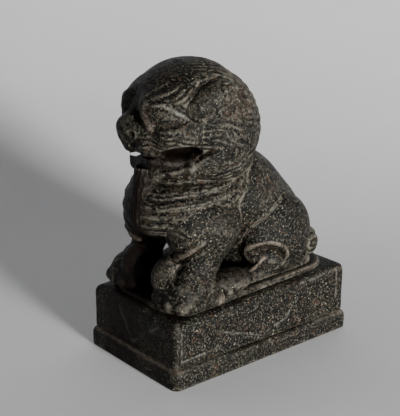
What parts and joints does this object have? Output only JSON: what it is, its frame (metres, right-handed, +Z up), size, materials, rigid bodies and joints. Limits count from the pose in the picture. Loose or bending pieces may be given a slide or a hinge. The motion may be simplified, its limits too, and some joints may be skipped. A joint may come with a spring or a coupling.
{
  "type": "seal stone",
  "caption": "Carved dark stone seal: an open-mouthed guardian lion seated on a rectangular block, with a flat blank seal face underneath for cutting and stamping.",
  "frame": {"origin": "centre of the flat seal face under the base", "axes": "+Z up from the seal face, -Y the way the lion's body faces, +X the lion's left side"},
  "size_m": [0.0288, 0.0476, 0.0604],
  "materials": {
    "stone": "dark speckled soapstone, hand polished on the broad forms, dull and brown in the carved recesses"
  },
  "bodies": {
    "root": {"plinth": "stone", "seal_block": "stone", "ground_slab": "stone", "torso": "stone", "mane": "stone", "chest_ruff": "stone", "head": "stone", "lower_jaw": "stone", "left_ear": "stone", "right_ear": "stone", "left_foreleg": "stone", "right_foreleg": "stone", "left_hind_leg": "stone", "right_hind_leg": "stone", "tail": "stone"}
  },
  "joints": []
}
